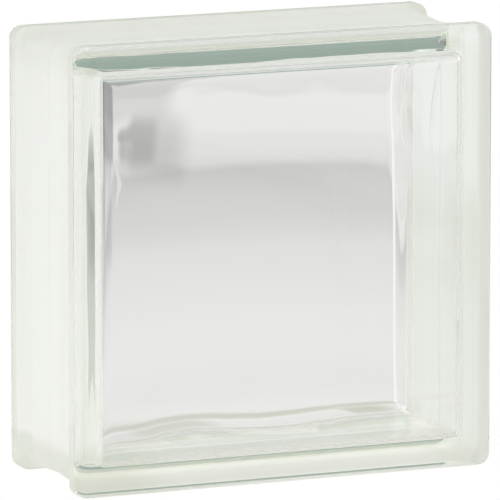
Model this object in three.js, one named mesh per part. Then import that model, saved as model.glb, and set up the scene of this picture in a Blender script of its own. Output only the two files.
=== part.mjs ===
// A hollow glass block: two identical pressed glass dishes, fused rim to rim at the mid-plane.
// Millimetres, +Z up. The block stands on one edge, its front face looks along -Y and its
// origin is at the middle of its base.
import * as THREE from "three";
import { mergeVertices } from "three/addons/utils/BufferGeometryUtils.js";

// Overall size
const SIDE = 190; // width and height of the square faces
const DEPTH = 80; // front face to rear face

// Outside of one dish, from its face back to its rim
const LIP_DEPTH = 10.3; // band behind each face, on which the block rests
const LIP_CORNER = 5.5; // corner radius of the face and of the lip
const FACE_EDGE_DEPTH = 4.4; // rounding between the face and the lip, measured back from the face
const FACE_EDGE_REACH = 6.5; // and measured across the face
const LIP_STEP = 2.4; // drop from the lip to the mortar channel
const LIP_STEP_RUN = 3.5; // depth over which the step falls
const CHANNEL_CORNER = 6.5; // corner radius of the channel beside the lip
const CHANNEL_RECESS = 3.3; // depth of the channel at the rim, below the lip
const RIM_CORNER = 7; // corner radius of the channel at the rim
const RIM_EDGE_ROUND = 0.5; // rounding of the rim's outer edge, half of the seam groove

// Hollow of one dish
const FACE_THICKNESS = 7.7; // clear plate at the front and rear
const RIM_WALL = 7.8; // wall thickness at the rim
const HOLLOW_DRAFT = 0.4; // inward lean of each wall from the rim to the plate
const HOLLOW_CORNER = 4; // corner radius of the hollow
const HOLLOW_ROUND_DEPTH = 6.9; // rounding between the wall and the plate, along the wall
const HOLLOW_ROUND_REACH = 6.2; // and along the plate
const HOLLOW_ROUND_FULLNESS = 2.5; // 2 is an ellipse; more fills the rounding's corner out
const BEAD_HEIGHT = 0.3; // glass squeezed inwards where the rims are fused
const BEAD_REACH = 2.4; // how far the bead runs from the mid-plane, on each dish
const LEAST_CORNER = 0.3; // corner radius that is left where a rounding takes in a whole corner

// Fineness of the facets
const CORNER_STEPS = 9; // facets round a quarter corner of the square
const ROUND_STEPS = 5; // facets round a quarter of a small rounding
const SLOPE_STEPS = 4; // facets along the channel's slope, on which the corner radius grows

const HALF_SIDE = SIDE / 2;
const RIM_TO_FACE = DEPTH / 2;
const QUARTER_TURN = Math.PI / 2;

const glass = new THREE.MeshStandardMaterial({
  color: 0xdfe8e2,
  roughness: 0.05,
  metalness: 0,
  transparent: true,
  opacity: 0.4,
});

// A rounded square, counter-clockwise, with a sharp-cornered half width and a corner radius.
function roundedSquare(halfWidth, corner) {
  const centre = halfWidth - corner;
  const quarters = [
    [centre, centre],
    [-centre, centre],
    [-centre, -centre],
    [centre, -centre],
  ];
  return quarters.flatMap(([x, z], quarter) => {
    const start = quarter * QUARTER_TURN;
    const arc = new THREE.EllipseCurve(x, z, corner, corner, start, start + QUARTER_TURN);
    return arc.getPoints(CORNER_STEPS);
  });
}

// Points of a quarter rounding, as shares [0..1, 0..1] of its two reaches.
function quarterRound(steps, fullness = 2) {
  return Array.from({ length: steps + 1 }, (_, step) => {
    const angle = (step / steps) * QUARTER_TURN;
    return [Math.sin(angle) ** (2 / fullness), Math.cos(angle) ** (2 / fullness)];
  });
}

// The corner radius of a rounded square once a rounding has moved its sides inwards.
function tightened(corner, inwards) {
  return Math.max(corner - inwards, LEAST_CORNER);
}

// Each station of a dish is one rounded square: its height above the rim plane, its half width
// and its corner radius. The stations run from the middle of the face, round the lip, down the
// channel, across the rim and up into the hollow.
function outerStations() {
  const face = quarterRound(ROUND_STEPS).map(([out, up]) => ({
    height: RIM_TO_FACE - FACE_EDGE_DEPTH * (1 - up),
    halfWidth: HALF_SIDE - FACE_EDGE_REACH * (1 - out),
    corner: tightened(LIP_CORNER, FACE_EDGE_REACH * (1 - out)),
  }));
  const lipEnd = RIM_TO_FACE - LIP_DEPTH;
  const lip = { height: lipEnd, halfWidth: HALF_SIDE, corner: LIP_CORNER };
  const slopeTop = lipEnd - LIP_STEP_RUN;
  const slope = Array.from({ length: SLOPE_STEPS + 1 }, (_, step) => {
    const share = step / SLOPE_STEPS;
    const height = THREE.MathUtils.lerp(slopeTop, RIM_EDGE_ROUND, share);
    const inset = THREE.MathUtils.lerp(LIP_STEP, CHANNEL_RECESS, share);
    const corner = THREE.MathUtils.lerp(CHANNEL_CORNER, RIM_CORNER, share);
    return { height, halfWidth: HALF_SIDE - inset, corner };
  });
  const rimEdge = quarterRound(ROUND_STEPS).slice(1).map(([down, out]) => ({
    height: RIM_EDGE_ROUND * (1 - down),
    halfWidth: HALF_SIDE - CHANNEL_RECESS - RIM_EDGE_ROUND * (1 - out),
    corner: tightened(RIM_CORNER, RIM_EDGE_ROUND * (1 - out)),
  }));
  return [...face, lip, ...slope, ...rimEdge];
}

function hollowStations() {
  const rimHalfWidth = HALF_SIDE - CHANNEL_RECESS - RIM_WALL;
  const floorHeight = RIM_TO_FACE - FACE_THICKNESS;
  const bead = quarterRound(ROUND_STEPS).map(([up, inwards]) => ({
    height: BEAD_REACH * up,
    halfWidth: rimHalfWidth - BEAD_HEIGHT * inwards,
    corner: tightened(HOLLOW_CORNER, BEAD_HEIGHT * inwards),
  }));
  const floor = quarterRound(ROUND_STEPS, HOLLOW_ROUND_FULLNESS).map(([up, out]) => ({
    height: floorHeight - HOLLOW_ROUND_DEPTH * (1 - up),
    halfWidth: rimHalfWidth - HOLLOW_DRAFT - HOLLOW_ROUND_REACH * (1 - out),
    corner: tightened(HOLLOW_CORNER, HOLLOW_ROUND_REACH * (1 - out)),
  }));
  return [...bead, ...floor];
}

// Skins a closed solid over a run of stations, and closes both ends with a flat cap.
function loft(stations, place) {
  const outlines = stations.map(({ halfWidth, corner }) => roundedSquare(halfWidth, corner));
  const rings = outlines.map((outline, ring) =>
    outline.map((point) => place(point, stations[ring].height)),
  );
  const count = outlines[0].length;
  const positions = rings.flat().flatMap((point) => point.toArray());
  const indices = [];
  const last = rings.length - 1;
  for (let ring = 0; ring < last; ring += 1) {
    for (let side = 0; side < count; side += 1) {
      const next = (side + 1) % count;
      const [a, b] = [ring * count + side, ring * count + next];
      const [c, d] = [a + count, b + count];
      indices.push(a, c, b, b, c, d);
    }
  }
  const cap = (ring) =>
    THREE.ShapeUtils.triangulateShape(outlines[ring], []).map((triangle) =>
      triangle.map((corner) => ring * count + corner),
    );
  indices.push(...cap(0).flat());
  indices.push(...cap(last).flatMap((triangle) => triangle.reverse()));
  const geometry = new THREE.BufferGeometry();
  geometry.setAttribute("position", new THREE.Float32BufferAttribute(positions, 3));
  geometry.setIndex(indices);
  const closed = mergeVertices(geometry, 1e-4);
  closed.computeVertexNormals();
  return closed;
}

// One pressed dish, its face towards -Y and its rim on the plane y = 0.
function dishGeometry() {
  const stations = [...outerStations(), ...hollowStations()];
  return loft(stations, (point, height) => new THREE.Vector3(point.x, -height, point.y));
}

function makeDish(name, turn) {
  const dish = new THREE.Mesh(dishGeometry(), glass);
  dish.name = name;
  dish.rotation.z = turn;
  return dish;
}

const block = new THREE.Group();
block.add(makeDish("front_half_shell", 0));
block.add(makeDish("rear_half_shell", Math.PI));
block.position.z = HALF_SIDE;

export default block;
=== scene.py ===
# A hollow glass block: clear pressed glass, fused at the mid-plane, white film in the mortar channel.
import math

import bmesh
import bpy
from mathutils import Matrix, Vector

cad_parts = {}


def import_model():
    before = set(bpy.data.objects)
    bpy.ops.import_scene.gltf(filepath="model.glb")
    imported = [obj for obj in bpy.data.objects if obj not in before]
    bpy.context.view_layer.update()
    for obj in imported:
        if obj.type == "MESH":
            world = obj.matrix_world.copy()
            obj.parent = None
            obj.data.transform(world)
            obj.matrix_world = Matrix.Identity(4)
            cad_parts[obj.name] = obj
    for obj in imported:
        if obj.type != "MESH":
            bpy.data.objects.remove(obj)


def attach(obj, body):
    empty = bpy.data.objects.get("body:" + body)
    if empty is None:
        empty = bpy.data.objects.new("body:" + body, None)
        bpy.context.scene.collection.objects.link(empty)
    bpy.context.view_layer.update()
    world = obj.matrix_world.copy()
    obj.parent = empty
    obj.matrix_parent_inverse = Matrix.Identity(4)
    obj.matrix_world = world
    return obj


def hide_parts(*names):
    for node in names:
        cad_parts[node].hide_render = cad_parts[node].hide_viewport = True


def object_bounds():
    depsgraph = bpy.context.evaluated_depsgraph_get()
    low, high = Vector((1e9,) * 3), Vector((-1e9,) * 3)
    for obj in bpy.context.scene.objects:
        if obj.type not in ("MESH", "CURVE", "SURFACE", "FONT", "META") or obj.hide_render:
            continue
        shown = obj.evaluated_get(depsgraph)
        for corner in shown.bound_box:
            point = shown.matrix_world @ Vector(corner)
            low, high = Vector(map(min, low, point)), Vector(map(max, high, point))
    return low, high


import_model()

MM = 0.001
CAD_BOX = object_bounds()

# ---- sizes, in millimetres, along the block's own axes ----------------------------------------
LOW, HIGH = (Vector(corner) / MM for corner in CAD_BOX)
HALF_SIDE = (HIGH.x - LOW.x) / 2
FACE = (HIGH.y - LOW.y) / 2            # distance of each face from the mid-plane
CENTRE_Z = (LOW.z + HIGH.z) / 2

LIP_DEPTH = 10.3
LIP_CORNER = 5.5
FACE_EDGE_DEPTH = 4.4                  # the rounding between face and lip, back from the face
FACE_EDGE_REACH = 6.5                  # and across the face
FACE_EDGE_FULLNESS = 2.15              # 2 is an ellipse; more fills the rounding's corner out
LIP_STEP = 2.4
LIP_STEP_RUN = 3.5
CHANNEL_CORNER = 6.5
CHANNEL_RECESS = 3.3
RIM_CORNER = 7.0
SEAM_GROOVE = 0.45

FACE_THICKNESS = 7.7
RIM_WALL = 7.8
HOLLOW_DRAFT = 0.4
HOLLOW_CORNER = 4.0
HOLLOW_ROUND_DEPTH = 6.9               # the rounding between wall and plate, along the wall
HOLLOW_ROUND_REACH = 6.2               # and along the plate
HOLLOW_ROUND_FULLNESS = 2.5
LEAST_CORNER = 0.4
BEAD_HEIGHT = 0.04
BEAD_REACH = 2.4

# fineness of the mesh
CORNER_SEGMENTS = 10
OUTER_CUTS = 11                        # cuts along each straight side of an outer ring
CHANNEL_CUTS = 11                      # and along the depth of half a channel
PANE_CUT_STEP = 1.6                    # spacing of the cuts that let the inner faces wave
PANE_EDGE_CUTS = 5                     # closer cuts beside the rounding
PANE_EDGE_STEP = 0.8                   # and their spacing
PANE_MARGIN = 0.7                      # flat strip between the outermost cut and the rounding
WALL_MARGIN = 0.4                      # the same along the walls and the lips
WALL_CUTS = 24
FACE_ROUND_STEPS = 9
HOLLOW_ROUND_STEPS = 10
BEAD_STEPS = 6
NEAR = 0.01                            # places closer than this count as one

# unevenness of the pressed and fused glass
WAVE_SIZE = 26.0                       # of the slow waves in the hollow's walls
WAVE_HEIGHT = 0.24
LEFT_WALL_CALM = 0.75                  # the share of them that the left wall lacks
FOLD_HEIGHT, FOLD_WIDTH = 0.26, 1.3    # the fold on the right wall
RIDGE_HEIGHT, RIDGE_WIDTH = 0.20, 0.9  # the ridge along the seam of the lower wall
RIDGE_PLACE = 0.3                      # its distance behind the mid-plane

# finishes
LIP_FILM = 0.64                        # share of the film on the flats of the lips
LAP_FILM = 0.72                        # and where it laps over an outer edge
FILM_STOP = 0.3                        # the film ends this far from the rounding of the face
FILM_WHITE = (0.975, 0.975, 0.963, 1)
FILM_PAINTED_SHADE = (0.86, 0.87, 0.82, 1)      # painted shade on the film: darker bands and patches
FILM_GLOW = 0.45                       # share of the light that the film lets through
TOP_PAINTED_GLOW, RIGHT_PAINTED_GLOW = 0.15, 0.36      # and how much more of it on these two sides: painted light, so they show lighter from within
PAINTED_GAP_SHADE = (0.03, 0.16, 0.08, 1)   # painted shade: a dark green on the glass where the film has come loose
PAINTED_GAP_SHADE_SHARE = 0.20
GLASS_TINT = (0.935, 0.962, 0.905, 1)
TINT_DENSITY = 10.0
GLASS_INDEX = 1.52


# ---- modelling tools --------------------------------------------------------------------------
def deselect_everything():
    if bpy.context.object and bpy.context.object.mode != "OBJECT":
        bpy.ops.object.mode_set(mode="OBJECT")
    bpy.ops.object.select_all(action="DESELECT")


def begin_piece(name):
    """An empty mesh in edit mode, ready for primitives."""
    deselect_everything()
    bpy.ops.mesh.primitive_plane_add(size=1, location=(0, 0, 0))
    piece = bpy.context.object
    piece.name = piece.data.name = name
    bpy.ops.object.mode_set(mode="EDIT")
    bpy.ops.mesh.select_all(action="SELECT")
    bpy.ops.mesh.delete(type="VERT")
    return piece


def end_piece(piece):
    bpy.ops.object.mode_set(mode="OBJECT")
    return piece


def select_edges(piece, wanted):
    """Selects the edges for which wanted(start, end) holds, in millimetres."""
    bpy.ops.mesh.select_mode(type="EDGE")
    bpy.ops.mesh.select_all(action="DESELECT")
    mesh = bmesh.from_edit_mesh(piece.data)
    for edge in mesh.edges:
        start, end = (vert.co / MM for vert in edge.verts)
        edge.select_set(bool(wanted(start, end)))
    mesh.select_flush_mode()
    bmesh.update_edit_mesh(piece.data)


def select_faces(piece, wanted):
    """Selects the faces for which wanted(centre, normal) holds, in millimetres."""
    bpy.ops.mesh.select_mode(type="FACE")
    bpy.ops.mesh.select_all(action="DESELECT")
    mesh = bmesh.from_edit_mesh(piece.data)
    for face in mesh.faces:
        face.select_set(bool(wanted(face.calc_center_median() / MM, face.normal)))
    mesh.select_flush_mode()
    bmesh.update_edit_mesh(piece.data)


def is_near(value, target):
    return abs(value - target) < NEAR


def reach(point):
    """Half width of the square ring that a point lies on."""
    return max(abs(point.x), abs(point.z - CENTRE_Z))


def ring_at(y):
    """A test for the edges of the ring at depth y."""
    return lambda start, end: is_near(start.y, y) and is_near(end.y, y)


def add_ring(piece, y, half_width, corner, straight_cuts):
    """A rounded square of edges: a plane with its corners bevelled and its face taken away."""
    bpy.ops.mesh.select_all(action="DESELECT")
    bpy.ops.mesh.primitive_plane_add(
        size=2 * half_width * MM,
        location=(0, y * MM, CENTRE_Z * MM),
        rotation=(math.pi / 2, 0, 0),
    )
    bpy.ops.mesh.bevel(
        offset=corner * MM, segments=CORNER_SEGMENTS, profile=0.5, affect="VERTICES",
    )
    bpy.ops.mesh.delete(type="ONLY_FACE")
    if straight_cuts:
        straight = 2 * (half_width - corner)

        def is_straight_side(start, end):
            level = is_near(start.y, y) and is_near(end.y, y)
            long = (start - end).length > 0.9 * straight
            return level and long and reach(start) < half_width + NEAR

        select_edges(piece, is_straight_side)
        bpy.ops.mesh.subdivide(number_cuts=straight_cuts)


def bridge(piece, first_y, second_y, cuts=0):
    first, second = ring_at(first_y), ring_at(second_y)
    select_edges(piece, lambda start, end: first(start, end) or second(start, end))
    bpy.ops.mesh.bridge_edge_loops(number_cuts=cuts, interpolation="LINEAR", smoothness=0)


def cut_across(axis, places, select=None):
    """Cuts the piece, or what select() selects, at places in millimetres along an axis."""
    normal = tuple(float(index == axis) for index in range(3))
    for place in places:
        if select:
            select()
        else:
            bpy.ops.mesh.select_all(action="SELECT")
        point = tuple(place * MM * part for part in normal)
        bpy.ops.mesh.bisect(plane_co=point, plane_no=normal)


def rounding(steps, depth, width, fullness):
    """Places round a quarter rounding: how far below the plate, and how far in from the wall."""
    for step in range(steps + 1):
        angle = math.pi / 2 * step / steps
        down = depth * (1 - math.cos(angle) ** (2 / fullness))
        inwards = width * (1 - math.sin(angle) ** (2 / fullness))
        yield down, inwards


# ---- outer skin -------------------------------------------------------------------------------
def outer_skin():
    piece = begin_piece("outer_skin")
    lip_end = FACE - LIP_DEPTH
    channel_start = lip_end - LIP_STEP_RUN
    edge = rounding(FACE_ROUND_STEPS, FACE_EDGE_DEPTH, FACE_EDGE_REACH, FACE_EDGE_FULLNESS)
    rings = [
        (down - FACE, HALF_SIDE - inwards, max(LIP_CORNER - inwards, LEAST_CORNER))
        for down, inwards in edge
    ]
    rings += [
        (-lip_end, HALF_SIDE, LIP_CORNER),
        (-channel_start, HALF_SIDE - LIP_STEP, CHANNEL_CORNER),
        (-SEAM_GROOVE, HALF_SIDE - CHANNEL_RECESS, RIM_CORNER),
        (0.0, HALF_SIDE - CHANNEL_RECESS - SEAM_GROOVE, RIM_CORNER - SEAM_GROOVE),
    ]
    cuts_between = [0] * (FACE_ROUND_STEPS + 1) + [1, CHANNEL_CUTS, 1]
    for y, half_width, corner in rings:
        add_ring(piece, y, half_width, corner, OUTER_CUTS)
    for (first, *_), (second, *_), cuts in zip(rings, rings[1:], cuts_between):
        bridge(piece, first, second, cuts)
    select_edges(piece, ring_at(-FACE))
    bpy.ops.mesh.edge_face_add()
    flat = HALF_SIDE - FACE_EDGE_REACH - PANE_MARGIN

    def select_face():
        select_faces(piece, lambda centre, normal: is_near(centre.y, -FACE))

    cut_across(0, [-flat, flat], select_face)
    cut_across(2, [CENTRE_Z - flat, CENTRE_Z + flat], select_face)
    flat_start, flat_end = FACE - FACE_EDGE_DEPTH - WALL_MARGIN, lip_end + WALL_MARGIN
    cut_across(1, [-flat_start, -(flat_start + flat_end) / 2, -flat_end])
    return end_piece(piece)


# ---- hollow skin ------------------------------------------------------------------------------
def hollow_skin():
    piece = begin_piece("hollow_skin")
    rim_width = HALF_SIDE - CHANNEL_RECESS - RIM_WALL
    floor_y = FACE - FACE_THICKNESS
    edge = rounding(
        HOLLOW_ROUND_STEPS, HOLLOW_ROUND_DEPTH, HOLLOW_ROUND_REACH, HOLLOW_ROUND_FULLNESS,
    )
    rings = []
    for down, inwards in edge:
        corner = max(HOLLOW_CORNER - inwards, LEAST_CORNER)
        rings.append((down - floor_y, rim_width - HOLLOW_DRAFT - inwards, corner))
    for share in range(BEAD_STEPS + 1):
        angle = math.pi * share / BEAD_STEPS
        height = BEAD_HEIGHT * (1 - math.cos(angle)) / 2
        rings.append((-BEAD_REACH * (1 - share / BEAD_STEPS), rim_width - height, HOLLOW_CORNER))
    for y, half_width, corner in rings:
        add_ring(piece, y, half_width, corner, 0)
    for (first, *_), (second, *_) in zip(rings, rings[1:]):
        bridge(piece, first, second)
    select_edges(piece, ring_at(-floor_y))
    bpy.ops.mesh.edge_face_add()
    flat = rim_width - HOLLOW_DRAFT - HOLLOW_ROUND_REACH - PANE_MARGIN
    steps = int(2 * flat / PANE_CUT_STEP)
    places = [-flat + 2 * flat * index / steps for index in range(steps + 1)]
    edges = [flat - PANE_EDGE_STEP * index for index in range(1, PANE_EDGE_CUTS + 1)]
    places += edges + [-place for place in edges]
    cut_across(0, places)
    cut_across(2, [CENTRE_Z + place for place in places])
    wall_start = floor_y - HOLLOW_ROUND_DEPTH - WALL_MARGIN
    wall_end = BEAD_REACH + WALL_MARGIN
    wall = wall_start - wall_end
    cut_across(1, [-wall_end - wall * index / WALL_CUTS for index in range(WALL_CUTS + 1)])
    return end_piece(piece)


def mirror_across_mid_plane(piece):
    modifier = piece.modifiers.new("other_half", "MIRROR")
    modifier.use_axis = (False, True, False)
    modifier.use_clip = True
    modifier.merge_threshold = 0.01 * MM
    bpy.context.view_layer.objects.active = piece
    bpy.ops.object.modifier_apply(modifier=modifier.name)


def point_faces(piece, outwards):
    """Turns a closed skin's faces all outwards, or all inwards for the skin of a hollow."""
    deselect_everything()
    piece.select_set(True)
    bpy.context.view_layer.objects.active = piece
    bpy.ops.object.mode_set(mode="EDIT")
    bpy.ops.mesh.select_all(action="SELECT")
    bpy.ops.mesh.normals_make_consistent(inside=False)
    signed_volume = bmesh.from_edit_mesh(piece.data).calc_volume(signed=True)
    if (signed_volume > 0) != outwards:
        bpy.ops.mesh.flip_normals()
    bpy.ops.object.mode_set(mode="OBJECT")


def wave(piece, name, weight, size, height):
    """Lets a skin rise and fall gently, as pressed glass does; weight(point) is its share, 0 to 1."""
    group = piece.vertex_groups.new(name=name)
    for vert in piece.data.vertices:
        share = weight(vert.co / MM)
        if share > 0:
            group.add([vert.index], share, "REPLACE")
    pattern = bpy.data.textures.new(name, "CLOUDS")
    pattern.noise_scale = size * MM
    pattern.noise_depth = 1
    modifier = piece.modifiers.new(name, "DISPLACE")
    modifier.texture = pattern
    modifier.texture_coords = "LOCAL"
    modifier.direction = "NORMAL"
    modifier.mid_level = 0.5
    modifier.strength = height * MM
    modifier.vertex_group = group.name
    bpy.context.view_layer.objects.active = piece
    bpy.ops.object.modifier_apply(modifier=modifier.name)
    bpy.data.textures.remove(pattern)


def settle(value, low, high):
    """0 below low, 1 above high, and a smooth turn between them."""
    part = min(1.0, max(0.0, (value - low) / (high - low)))
    return part * part * (3 - 2 * part)


def along_path(points, place):
    """The height of a smooth path through (place, height) points, level beyond its ends."""
    if place <= points[0][0]:
        return points[0][1]
    for (start, low), (end, high) in zip(points, points[1:]):
        if place < end:
            return low + (high - low) * settle(place, start, end)
    return points[-1][1]


BASE_EDGE_PATH = [                     # x, and how far the hollow's rear lower edge lies above level
    (-60, -2.4), (-44, -2.2), (-36, -1.4), (-30, 0.2), (-18, 1.2), (-8, 0.8), (4, -0.4),
    (18, -1.3), (30, -0.9), (44, 0.1), (56, 0.9), (80, 0.8),
]
RIGHT_EDGE_PATH = [                    # height, and how far the rear right edge lies to the right
    (0, 0.0), (30, -0.6), (54, -1.7), (68, -0.9), (78, 0.4),
]
RIGHT_FOLD_PATH = [                    # height, and how far the fold lies behind the mid-plane
    (30, 3.5), (45, 3.0), (55, 1.5), (65, -2.0), (75, -6.5), (84, -3.0),
]


def make_uneven(piece):
    """Moves the hollow's surface as pressing and fusing leave it: wavy edges and faint folds."""
    for vert in piece.data.vertices:
        x, y, z = vert.co.x / MM, vert.co.y / MM, vert.co.z / MM - CENTRE_Z
        rear = settle(y, 6, 26)
        low, right = settle(-z, 62, 77), settle(x, 62, 77)
        vert.co.z += along_path(BASE_EDGE_PATH, x) * rear * low * MM
        vert.co.x += along_path(RIGHT_EDGE_PATH, z) * rear * right * MM
        fold = math.exp(-((y - along_path(RIGHT_FOLD_PATH, z)) / FOLD_WIDTH) ** 2)
        vert.co.x -= FOLD_HEIGHT * fold * settle(x, 80, 82) * settle(z, 30, 44) * MM
        ridge = math.exp(-((y - RIDGE_PLACE) / RIDGE_WIDTH) ** 2)
        vert.co.z += RIDGE_HEIGHT * ridge * settle(-z, 80, 82) * MM


# ---- materials --------------------------------------------------------------------------------
class Value:
    """One output of a node; sums written on it add the nodes that work them out."""

    def __init__(self, shader, socket):
        self.shader = shader
        self.socket = socket

    def maths(self, operation, first, second=0.0):
        return self.shader.node("Math", {"operation": operation}, {0: first, 1: second})

    def __add__(self, other):
        return self.maths("ADD", self, other)

    def __radd__(self, other):
        return self.maths("ADD", other, self)

    def __sub__(self, other):
        return self.maths("SUBTRACT", self, other)

    def __rsub__(self, other):
        return self.maths("SUBTRACT", other, self)

    def __mul__(self, other):
        return self.maths("MULTIPLY", self, other)

    def __rmul__(self, other):
        return self.maths("MULTIPLY", other, self)

    def __truediv__(self, other):
        return self.maths("DIVIDE", self, other)

    def __rtruediv__(self, other):
        return self.maths("DIVIDE", other, self)

    def __neg__(self):
        return self.maths("MULTIPLY", self, -1.0)

    def size(self):
        """The value without its sign."""
        return self.maths("ABSOLUTE", self)

    def greatest(self, other):
        return self.maths("MAXIMUM", self, other)

    def least(self, other):
        return self.maths("MINIMUM", self, other)

    def between(self, low, high):
        """0 below low, 1 above high, and a smooth turn between them."""
        return self.shader.node(
            "MapRange",
            {"interpolation_type": "SMOOTHSTEP"},
            {"Value": self, "From Min": low, "From Max": high},
        )

    def within(self, rise, fall):
        """1 from the end of rise to the start of fall, each a (low, high) turn, and 0 outside them."""
        return self.between(*rise) * (1 - self.between(*fall))


class Shader:
    """The node tree of a material or of the world."""

    def __init__(self, owner):
        owner.use_nodes = True
        self.owner = owner
        self.tree = owner.node_tree
        self.tree.nodes.clear()

    def node(self, kind, settings=None, values=None, output=0):
        made = self.tree.nodes.new("ShaderNode" + kind)
        for name, value in (settings or {}).items():
            if name == "stops":
                self.set_stops(made.color_ramp, value)
            else:
                setattr(made, name, value)
        for key, value in (values or {}).items():
            if isinstance(value, Value):
                self.tree.links.new(value.socket, made.inputs[key])
            else:
                made.inputs[key].default_value = value
        return Value(self, made.outputs[output])

    @staticmethod
    def set_stops(ramp, stops):
        while len(ramp.elements) > 1:
            ramp.elements.remove(ramp.elements[-1])
        for index, (place, shade) in enumerate(stops):
            element = ramp.elements[0] if index == 0 else ramp.elements.new(place)
            element.position = place
            element.color = (shade, shade, shade, 1)

    def parts(self, vector):
        return [
            self.node("SeparateXYZ", None, {0: vector}, output=index) for index in range(3)
        ]

    def noise(self, vector, scale, detail):
        return self.node(
            "TexNoise", None,
            {"Vector": vector, "Scale": scale, "Detail": detail, "Roughness": 0.5},
        )

    def mix_colour(self, factor, low, high):
        return self.node(
            "Mix", {"data_type": "RGBA"}, {"Factor": factor, 6: low, 7: high}, output=2,
        )

    def finish(self, surface, volume=None):
        values = {"Surface": surface}
        if volume:
            values["Volume"] = volume
        kind = "OutputWorld" if isinstance(self.owner, bpy.types.World) else "OutputMaterial"
        made = self.tree.nodes.new("ShaderNode" + kind)
        for key, value in values.items():
            self.tree.links.new(value.socket, made.inputs[key])
        return self.owner


FILM_SHADE_BANDS = [                       # from the front face to the rear face: share of painted shade on the film, in bands along the channel
    (0.0, 0.14), (0.15, 0.14), (0.20, 0.12), (0.25, 0.16), (0.30, 0.24), (0.36, 0.04), (0.47, 0.0),
    (0.565, 0.04), (0.59, 0.12), (0.615, 0.0), (0.70, 0.0), (0.76, 0.16), (0.82, 0.10),
    (0.88, 0.04), (0.92, 0.30), (1.0, 0.34),
]


# The masks below read places in metres along the block's axes: east, north to the rear face, and up.
def film_painted_shade(shader, east, north, up, from_within):
    """Share of painted shade on the film, 0 to 1."""
    top, left = up.between(0.170, 0.180), (-east).between(0.080, 0.090)
    front = -north
    # painted shade on the right side: a band beside the front step, and a darker lower part
    band = front.within((0.0185, 0.0250), (0.0275, 0.0290)) * 0.9
    lower_shade = 0.50 + 0.30 * up.between(0.060, 0.090) * front.between(0.002, 0.006)
    right_side = band.greatest(lower_shade * (1 - up.between(0.106, 0.126)))
    right_side = right_side * east.between(0.075, 0.080)
    # painted shade on the lower side, which faces the floor: towards the rear, and at the left end
    lower_side = north.between(0.0185, 0.0210) * 0.8 + (-east).between(0.042, 0.066) * 0.85
    lower_side = (0.020 - up).between(0.0, 0.008) * lower_side
    # painted shade in bands along the channel, fainter from within at the top and on the left
    shade_bands = shader.node("ValToRGB", {"stops": FILM_SHADE_BANDS}, {"Fac": north / 0.080 + 0.5})
    shade_bands = shade_bands * (1 - 0.8 * (top + left) * from_within)
    # painted shade seen from within only: behind the seam at the top, and along the seam on the left
    seam = (0.005 - north.size()).between(0.0, 0.003)
    shaded = north.between(0.001, 0.009) * top + seam * left * 0.35
    return (right_side + lower_side + shade_bands + shaded * from_within).least(1.0)


def whole_film(shader, place, north, up):
    """Share of the surface that the film covers, on the outer skin."""
    along = north.size()
    wobble = (shader.noise(place, 14.0, 1.0) - 0.5) * 0.0006
    lip_edge, stop = FACE - LIP_DEPTH + 0.2, FACE - FACE_EDGE_DEPTH - FILM_STOP
    full, thin = (
        (edge * MM + wobble - along).between(-0.0002, 0.0002) for edge in (lip_edge, stop)
    )
    # lapping over the lower outer edges and the upper rear edge
    lapped = (0.0026 - up).between(0.0, 0.0008)
    lapped = lapped + up.between(0.1886, 0.1892) * north.between(0.0, 0.001)
    lapped = lapped * (1 - thin) * LAP_FILM
    return full * (1 - LIP_FILM) + thin * LIP_FILM + lapped


def loose_film(east, north, up, from_within):
    """A long narrow strip of the left side where the film has come loose, as it shows from within."""
    start = 0.0034 + (up - 0.125).greatest(0.0) * 0.12 + (0.100 - up).greatest(0.0) * 0.022
    end = 0.0085 + (up - 0.080).greatest(0.0) * 0.20 - (0.080 - up).greatest(0.0) * 0.05
    strip = (north - start).between(-0.0002, 0.0002) * (1 - (north - end).between(-0.0003, 0.0003))
    strip = strip * (-east).between(0.0895, 0.0900) * up.between(0.018, 0.050) * from_within
    return strip * (1 - 0.9 * up.between(0.128, 0.160))


def pressed_glass():
    """Clear glass all through, under a thin white film on the channel between the two lips."""
    shader = Shader(bpy.data.materials.new("pressed_glass_and_film"))
    place = shader.node("TexCoord", None, None, output="Object")
    east, north, up = shader.parts(place)
    from_within = shader.node("NewGeometry", None, None, output="Backfacing")
    outside = shader.node("Attribute", {"attribute_name": "outside"}, None, output="Fac")
    clear = shader.node("BsdfPrincipled", None, {
        "Base Color": (1, 1, 1, 1),
        "Roughness": 0.0,
        "IOR": GLASS_INDEX,
        "Transmission Weight": 1.0,
    })
    # the film lets more light through on the top and the right: painted light, so these sides show
    # lighter from within
    top, right = up.between(0.170, 0.180), east.between(0.080, 0.090)
    glow = FILM_GLOW + TOP_PAINTED_GLOW * top + RIGHT_PAINTED_GLOW * right
    white, shaded_film = (
        shader.node("MixShader", None, {
            0: glow,
            1: shader.node("BsdfDiffuse", None, {"Color": colour}),
            2: shader.node("BsdfTranslucent", None, {"Color": colour}),
        })
        for colour in (FILM_WHITE, FILM_PAINTED_SHADE)
    )
    shade_share = film_painted_shade(shader, east, north, up, from_within)
    film = shader.node("MixShader", None, {0: shade_share, 1: white, 2: shaded_film})
    loose = loose_film(east, north, up, from_within)
    share = whole_film(shader, place, north, up) * outside * (1 - loose)
    covered = shader.node("MixShader", None, {0: share, 1: clear, 2: film})
    # painted shade: dark green over the strip where the film has come loose, seen from within
    shade = shader.node("BsdfDiffuse", None, {"Color": PAINTED_GAP_SHADE})
    surface = shader.node(
        "MixShader", None, {0: loose * outside * PAINTED_GAP_SHADE_SHARE, 1: covered, 2: shade},
    )
    tint = shader.node(
        "VolumeAbsorption", None, {"Color": GLASS_TINT, "Density": TINT_DENSITY},
    )
    return shader.finish(surface, tint)


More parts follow.
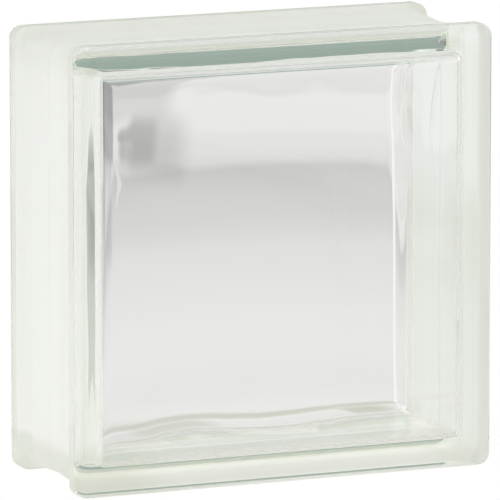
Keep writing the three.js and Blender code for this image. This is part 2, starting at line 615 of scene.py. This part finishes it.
def build_block():
    outside = outer_skin()
    hollow = hollow_skin()
    for skin, outwards in ((outside, True), (hollow, False)):
        mirror_across_mid_plane(skin)
        point_faces(skin, outwards)
    make_uneven(hollow)

    def unevenness(point):
        return settle(reach(point), 68, 78) * (1 - LEFT_WALL_CALM * settle(-point.x, 76, 81))

    wave(hollow, "unevenness", unevenness, WAVE_SIZE, WAVE_HEIGHT)
    glass = pressed_glass()
    for skin, share in ((outside, 1.0), (hollow, 0.0)):
        skin.data.materials.append(glass)
        mark = skin.data.attributes.new("outside", "FLOAT", "POINT")
        mark.data.foreach_set("value", [share] * len(skin.data.vertices))
    deselect_everything()
    hollow.select_set(True)
    outside.select_set(True)
    bpy.context.view_layer.objects.active = outside
    bpy.ops.object.join()
    outside.name = outside.data.name = "fused_glass_block"
    bpy.ops.object.shade_smooth_by_angle(angle=math.radians(50))
    return outside


block = build_block()
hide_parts("front_half_shell", "rear_half_shell")
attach(block, "root")


# ---- floor, world, lamps and camera -----------------------------------------------------------
CAMERA_AZIMUTH = -23.1
CAMERA_ELEVATION = 9.969
CAMERA_DISTANCE = 3.222
CAMERA_LENS = 547.4
CAMERA_AIM = Vector((-0.000336, 0, 0.09325))

FLOOR_REACH = 1.2                      # metres; the places of the shades below are parts of this
FLOOR_SHADES = [
    (0.00, 0.84), (0.11, 0.82), (0.17, 0.79), (0.23, 0.81), (0.30, 0.805), (0.36, 0.78),
    (0.43, 0.75), (0.465, 0.735), (0.50, 0.68), (0.54, 0.645), (0.58, 0.63), (0.662, 0.575),
    (0.684, 0.72), (0.71, 0.765), (0.745, 0.775), (0.765, 0.825), (0.86, 0.84), (0.88, 0.75),
    (0.93, 0.78), (1.0, 0.78),
]
VIEW_SIDE = math.sin(math.radians(-CAMERA_AZIMUTH))
VIEW_AHEAD = math.cos(math.radians(-CAMERA_AZIMUTH))
CLOSE_SHADE = (0.57, 0.585, 0.50, 1)   # painted colour of the soft olive shadows behind the block


# The masks of the floor read places in metres: across and ahead of the view, or east and north.
def studio_shades(shader, east, north):
    """Painted shades: the grey light and shade of the studio far behind the block, laid on the floor
    for the glass to show.
    """
    ahead = east * VIEW_SIDE + north * VIEW_AHEAD
    across = east * VIEW_AHEAD - north * VIEW_SIDE
    droop = (across - 0.039) * (across - 0.039) * 4.6 * (1 - ahead.between(0.84, 0.92))
    shade = shader.node(
        "ValToRGB", {"stops": FLOOR_SHADES}, {"Fac": (ahead + droop) / FLOOR_REACH},
    )
    far = ahead.between(0.755, 0.815)
    bearing = (-0.06 - across) / ahead.greatest(0.05)
    # a grey patch with a darker core, far off on the left, and the shades that join it on
    leftwards = across + 0.0018 * ahead.between(0.86, 0.90)
    patch = leftwards.between(-0.0675, -0.0645) * (1 - across.between(-0.047, -0.030))
    patch = patch * ahead.within((0.740, 0.800), (0.91, 1.00))
    core = leftwards.between(-0.0662, -0.0640) * (1 - across.between(-0.057, -0.050))
    core = core * ahead.within((0.780, 0.820), (0.92, 0.98))
    haze = (1 - across.between(-0.054, -0.040)) * ahead.between(0.91, 0.99)
    merge = (1 - across.between(-0.040, -0.034)) * ahead.within((0.70, 0.755), (0.78, 0.81))
    # darker stretches on the far left, by distance or by bearing
    far_left = (-0.079 - across).between(0.0, 0.02) * far
    edge = bearing.within((0.29, 0.34), (0.50, 0.70)) * ahead.between(0.35, 0.60)
    shelf = bearing.within((0.03, 0.10), (0.29, 0.34)) * ahead.between(0.44, 0.56) * (1 - far)
    darker = (
        (patch, 0.26), (core, 0.27), (haze, 0.20), (merge, 0.09),
        (far_left, 0.52), (edge, 0.45), (shelf, 0.20),
    )
    for mask, depth in darker:
        shade = shade * (1 - depth * mask)
    # a sector on the left of one shade, dark near and pale far off
    mirrored = north * VIEW_AHEAD - east * VIEW_SIDE
    sector = bearing.within((0.60, 0.80), (1.25, 1.55)) * ahead.between(0.20, 0.30)
    sector_shade = 0.42 + 0.50 * mirrored.between(0.76, 0.82)
    shade = shade * (1 - sector) + sector_shade * sector
    # a pale strip that runs off on the right, and a narrow streak on the left
    side = (across - 0.06) / ahead.greatest(0.05)
    strip = side.within((0.06, 0.14), (0.20, 0.30)) * 0.95 * ahead.between(-0.05, 0.0)
    streak = across.within((-0.0718, -0.0702), (-0.0686, -0.0672))
    streak = streak * ahead.within((0.63, 0.68), (0.86, 0.95)) * 0.72
    return shade.greatest(strip).greatest(streak)


def floor():
    deselect_everything()
    bpy.ops.mesh.primitive_plane_add(size=12, location=(0, 0, 0))
    plane = bpy.context.object
    plane.name = "studio_floor"
    shader = Shader(bpy.data.materials.new("floor_paper"))
    place = shader.node("TexCoord", None, None, output="Object")
    east, north, _ = shader.parts(place)
    shade = studio_shades(shader, east, north)
    gap = north - FACE * MM
    half_side = HALF_SIDE * MM
    # a painted soft shadow close behind the block, lighter on the right
    close = gap.within((-0.002, 0.002), (0.014, 0.024))
    shade = shade * (1 - 0.11 * close * (1 - 0.8 * east.between(-0.020, 0.010)))
    # painted light under the block, brightest at the rear, for the light that falls through it
    under = (0.004 - gap).between(0.0, 0.006) * (gap + 0.090).between(0.0, 0.006)
    for inwards in (half_side - east, half_side + east):
        under = under * inwards.between(0.0, 0.006)
    lit_under = north.within((-0.01, 0.01), (0.026, 0.030))
    shade = shade * (1 - under) + (0.80 + 0.30 * lit_under) * under
    # painted olive shadows behind the block: one all along, and two spots close to it
    behind = gap.within((0.022, 0.036), (0.048, 0.085))
    spot_left = east.within((-0.040, -0.026), (-0.006, 0.008)) * 0.65
    spot_right = east.within((0.0655, 0.0685), (0.080, 0.094))
    spots = gap.within((0.0, 0.008), (0.016, 0.034)) * (spot_left + spot_right)
    ahead = east * VIEW_SIDE + north * VIEW_AHEAD
    olive_shadow = (behind * 0.9 + spots).least(1.0) * (0.13 - ahead).between(0.0, 0.02)
    blue = shade * (0.985 - 0.04 * under)
    colour = shader.node("CombineColor", None, {0: shade, 1: shade, 2: blue})
    colour = shader.mix_colour(olive_shadow, colour, CLOSE_SHADE)
    # the camera sees white paper with the block's shadow; everything else sees the shades
    lit_paper = shader.node("Emission", None, {"Color": colour, "Strength": 1.0})
    shadowed = shader.node("BsdfDiffuse", None, {"Color": (0.25, 0.25, 0.25, 1)})
    white = shader.node("Emission", None, {"Color": (0.80, 0.80, 0.80, 1), "Strength": 1.0})
    seen = shader.node("AddShader", None, {0: shadowed, 1: white})
    by_camera = shader.node("LightPath", None, None, output="Is Camera Ray")
    mixed = shader.node("MixShader", None, {0: by_camera, 1: lit_paper, 2: seen})
    plane.data.materials.append(shader.finish(mixed))


def world():
    """Soft light from all round: more from the left, a low lamp on the right, a dark wall behind."""
    scene = bpy.context.scene
    scene.world = bpy.data.worlds.new("studio")
    shader = Shader(scene.world)
    direction = shader.node("TexCoord", None, None, output="Generated")
    east, north, up = shader.parts(direction)
    behind = east * 0.40 + north * 0.92
    dark_wall = up.within((-0.035, 0.012), (0.30, 0.50)) * behind.between(0.45, 0.75)
    west = (-east).between(0.0, 1.0)
    front = (-north).between(0.0, 0.8)
    lamp = east.between(0.3, 0.9) * up.between(0.05, 0.35)
    light = 1.12 + 0.375 * west + 0.12 * front + 0.50 * lamp
    light = light - 0.70 * up.between(0.25, 0.95) - 0.74 * dark_wall
    by_camera = shader.node("LightPath", None, None, output="Is Camera Ray")
    strength = by_camera + (1 - by_camera) * light
    seen_dark = dark_wall * (1 - by_camera)
    colour = shader.mix_colour(seen_dark, (1, 1, 1, 1), (0.80, 1.0, 0.90, 1))
    shader.finish(shader.node("Background", None, {"Color": colour, "Strength": strength}))


def camera():
    azimuth, elevation = math.radians(CAMERA_AZIMUTH), math.radians(CAMERA_ELEVATION)
    back = Vector((
        math.sin(azimuth) * math.cos(elevation),
        -math.cos(azimuth) * math.cos(elevation),
        math.sin(elevation),
    ))
    data = bpy.data.cameras.new("camera")
    data.lens = CAMERA_LENS
    data.clip_end = 100
    made = bpy.data.objects.new("camera", data)
    made.location = CAMERA_AIM + back * CAMERA_DISTANCE
    made.rotation_euler = (-back).to_track_quat("-Z", "Y").to_euler()
    bpy.context.collection.objects.link(made)
    bpy.context.scene.camera = made


floor()
world()
camera()
bpy.context.scene.view_settings.view_transform = "Standard"

# light passes through many walls of glass before it gets out
bounces = bpy.context.scene.cycles
bounces.blur_glossy = 0.0
bounces.max_bounces = 48
bounces.diffuse_bounces = 16
bounces.glossy_bounces = 32
bounces.transmission_bounces = 48
